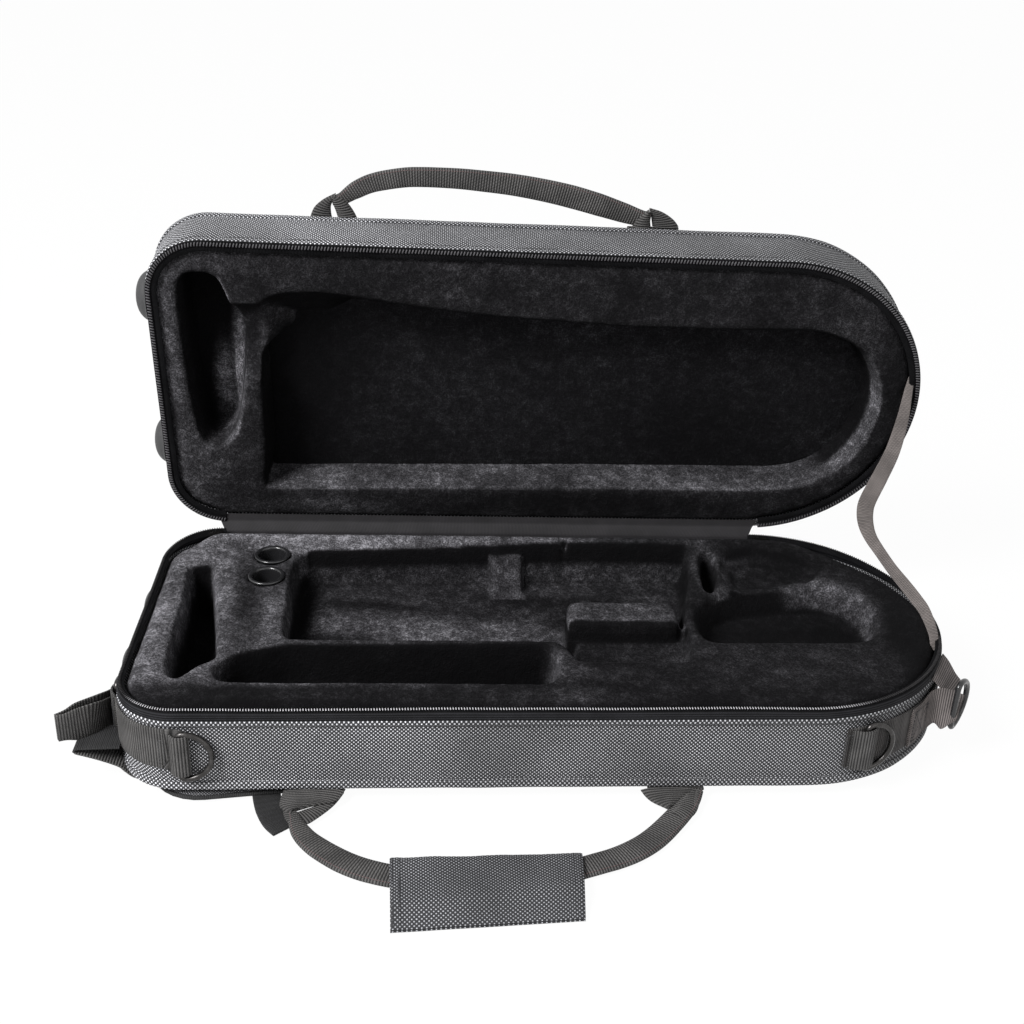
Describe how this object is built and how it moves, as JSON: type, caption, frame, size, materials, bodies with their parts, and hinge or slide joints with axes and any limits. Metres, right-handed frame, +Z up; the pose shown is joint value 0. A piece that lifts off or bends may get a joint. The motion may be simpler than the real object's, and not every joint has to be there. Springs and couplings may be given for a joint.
{
  "type": "trumpet case",
  "caption": "Soft-covered case for a trumpet, standing open: zip round a tapered plan with one round end, fitted velvet insert, lid held by a stay ribbon, webbing handles and carrying straps.",
  "frame": {"origin": "centre of the base's flat underside; the shoulder straps under it hang to 9 mm below", "axes": "+X towards the round end, +Y towards the hinge, +Z up, with the base lying flat and the lid open"},
  "size_m": [0.62, 0.4147, 0.3597],
  "materials": {
    "ballistic_nylon": "grey ballistic nylon in a basket weave",
    "velvet": "black crushed velvet over foam",
    "webbing": "black ribbed nylon webbing",
    "ribbon": "grey-brown grosgrain ribbon",
    "zip_tape": "dark grey woven tape",
    "zip_coil": "moulded nylon coil",
    "dark_metal": "dark bronze plate, worn",
    "black_plastic": "black moulded plastic",
    "rubber": "matt black rubber"
  },
  "bodies": {
    "base": {"base_shell": "ballistic_nylon", "zip_tape_base": "zip_tape", "zip_coil_base": "zip_coil", "hinge_leaf_base": "zip_tape", "base_insert": "velvet", "valve_block": "velvet", "valve_step": "velvet", "mouthpiece_ring_rear": "black_plastic", "mouthpiece_ring_front": "black_plastic", "side_band_left": "webbing", "side_band_right": "webbing", "ring_loop_front_left": "webbing", "ring_loop_front_right": "webbing", "ring_loop_end_left": "webbing", "stay_ribbon": "ribbon", "base_handle_anchor_left": "webbing", "base_handle_anchor_right": "webbing", "shoulder_pad_front": "ballistic_nylon", "shoulder_pad_rear": "ballistic_nylon", "strap_yoke": "ballistic_nylon", "strap_tail": "webbing", "pad_web_left": "webbing", "end_web_right_upper": "webbing", "end_ring_right": "dark_metal", "end_web_right_lower": "webbing", "base_foot_front": "rubber", "base_foot_rear": "rubber"},
    "lid": {"lid_shell": "ballistic_nylon", "zip_tape_lid": "zip_tape", "zip_coil_lid": "zip_coil", "hinge_leaf_lid": "zip_tape", "lid_insert": "velvet", "lid_floor_panel": "velvet", "lid_handle_anchor_left": "webbing", "lid_handle_anchor_right": "webbing", "lid_foot_front": "rubber", "lid_foot_rear": "rubber"},
    "lid_handle": {"lid_handle": "webbing"},
    "base_handle": {"base_handle": "webbing", "grip_sleeve": "ballistic_nylon"},
    "grip_flap": {"grip_flap": "ballistic_nylon"},
    "ring_front_left": {"ring_front_left": "dark_metal"},
    "ring_front_right": {"ring_front_right": "dark_metal"},
    "ring_end_left": {"ring_end_left": "dark_metal", "end_loop_left": "webbing"},
    "slider_left": {"slider_left": "dark_metal"},
    "pull_left": {"pull_left": "dark_metal"},
    "slider_right": {"slider_right": "dark_metal"},
    "pull_right": {"pull_right": "dark_metal"}
  },
  "joints": [
    {"name": "lid_hinge", "type": "hinge", "parent": "base", "child": "lid", "pos_m": [0, 0.1255, 0.0599], "axis": [-1, 0, 0], "range_deg": [-81.5, 12], "deforming": ["stay_ribbon"]},
    {"name": "lid_handle_swing", "type": "hinge", "parent": "lid", "child": "lid_handle", "pos_m": [0, 0.14696, 0.30733], "axis": [-1, 0, 0], "range_deg": [-45, 100]},
    {"name": "base_handle_swing", "type": "hinge", "parent": "base", "child": "base_handle", "pos_m": [0, -0.11604, -0.0013], "axis": [-1, 0, 0], "range_deg": [-90, 45]},
    {"name": "grip_flap_hinge", "type": "hinge", "parent": "base_handle", "child": "grip_flap", "pos_m": [0, -0.2335, -0.0019], "axis": [1, 0, 0], "range_deg": [0, 150]},
    {"name": "ring_front_left_swing", "type": "hinge", "parent": "base", "child": "ring_front_left", "pos_m": [-0.23993, -0.12288, 0.0295], "axis": [0, 0, -1], "range_deg": [0, 150]},
    {"name": "ring_front_right_swing", "type": "hinge", "parent": "base", "child": "ring_front_right", "pos_m": [0.20839, -0.1098, 0.0295], "axis": [0, 0, -1], "range_deg": [0, 150]},
    {"name": "ring_end_left_swing", "type": "hinge", "parent": "base", "child": "ring_end_left", "pos_m": [-0.2893, -0.068, 0.0295], "axis": [0, 0, 1], "range_deg": [0, 60]},
    {"name": "slider_left_travel", "type": "hinge", "parent": "base", "child": "slider_left", "pos_m": [-0.2426, 0.0769, 0.062], "axis": [0, 0, 1], "range_deg": [0, 65]},
    {"name": "pull_left_swing", "type": "hinge", "parent": "slider_left", "child": "pull_left", "pos_m": [-0.25134, 0.12186, 0.0628], "axis": [0.9816, 0.1908, 0], "range_deg": [0, 80]},
    {"name": "slider_right_travel", "type": "hinge", "parent": "base", "child": "slider_right", "pos_m": [0.16933, 0.00363, 0.062], "axis": [0, 0, -1], "range_deg": [0, 95]},
    {"name": "pull_right_swing", "type": "hinge", "parent": "slider_right", "child": "pull_right", "pos_m": [0.17971, 0.12225, 0.0628], "axis": [0.9962, -0.0872, 0], "range_deg": [0, 80]}
  ]
}
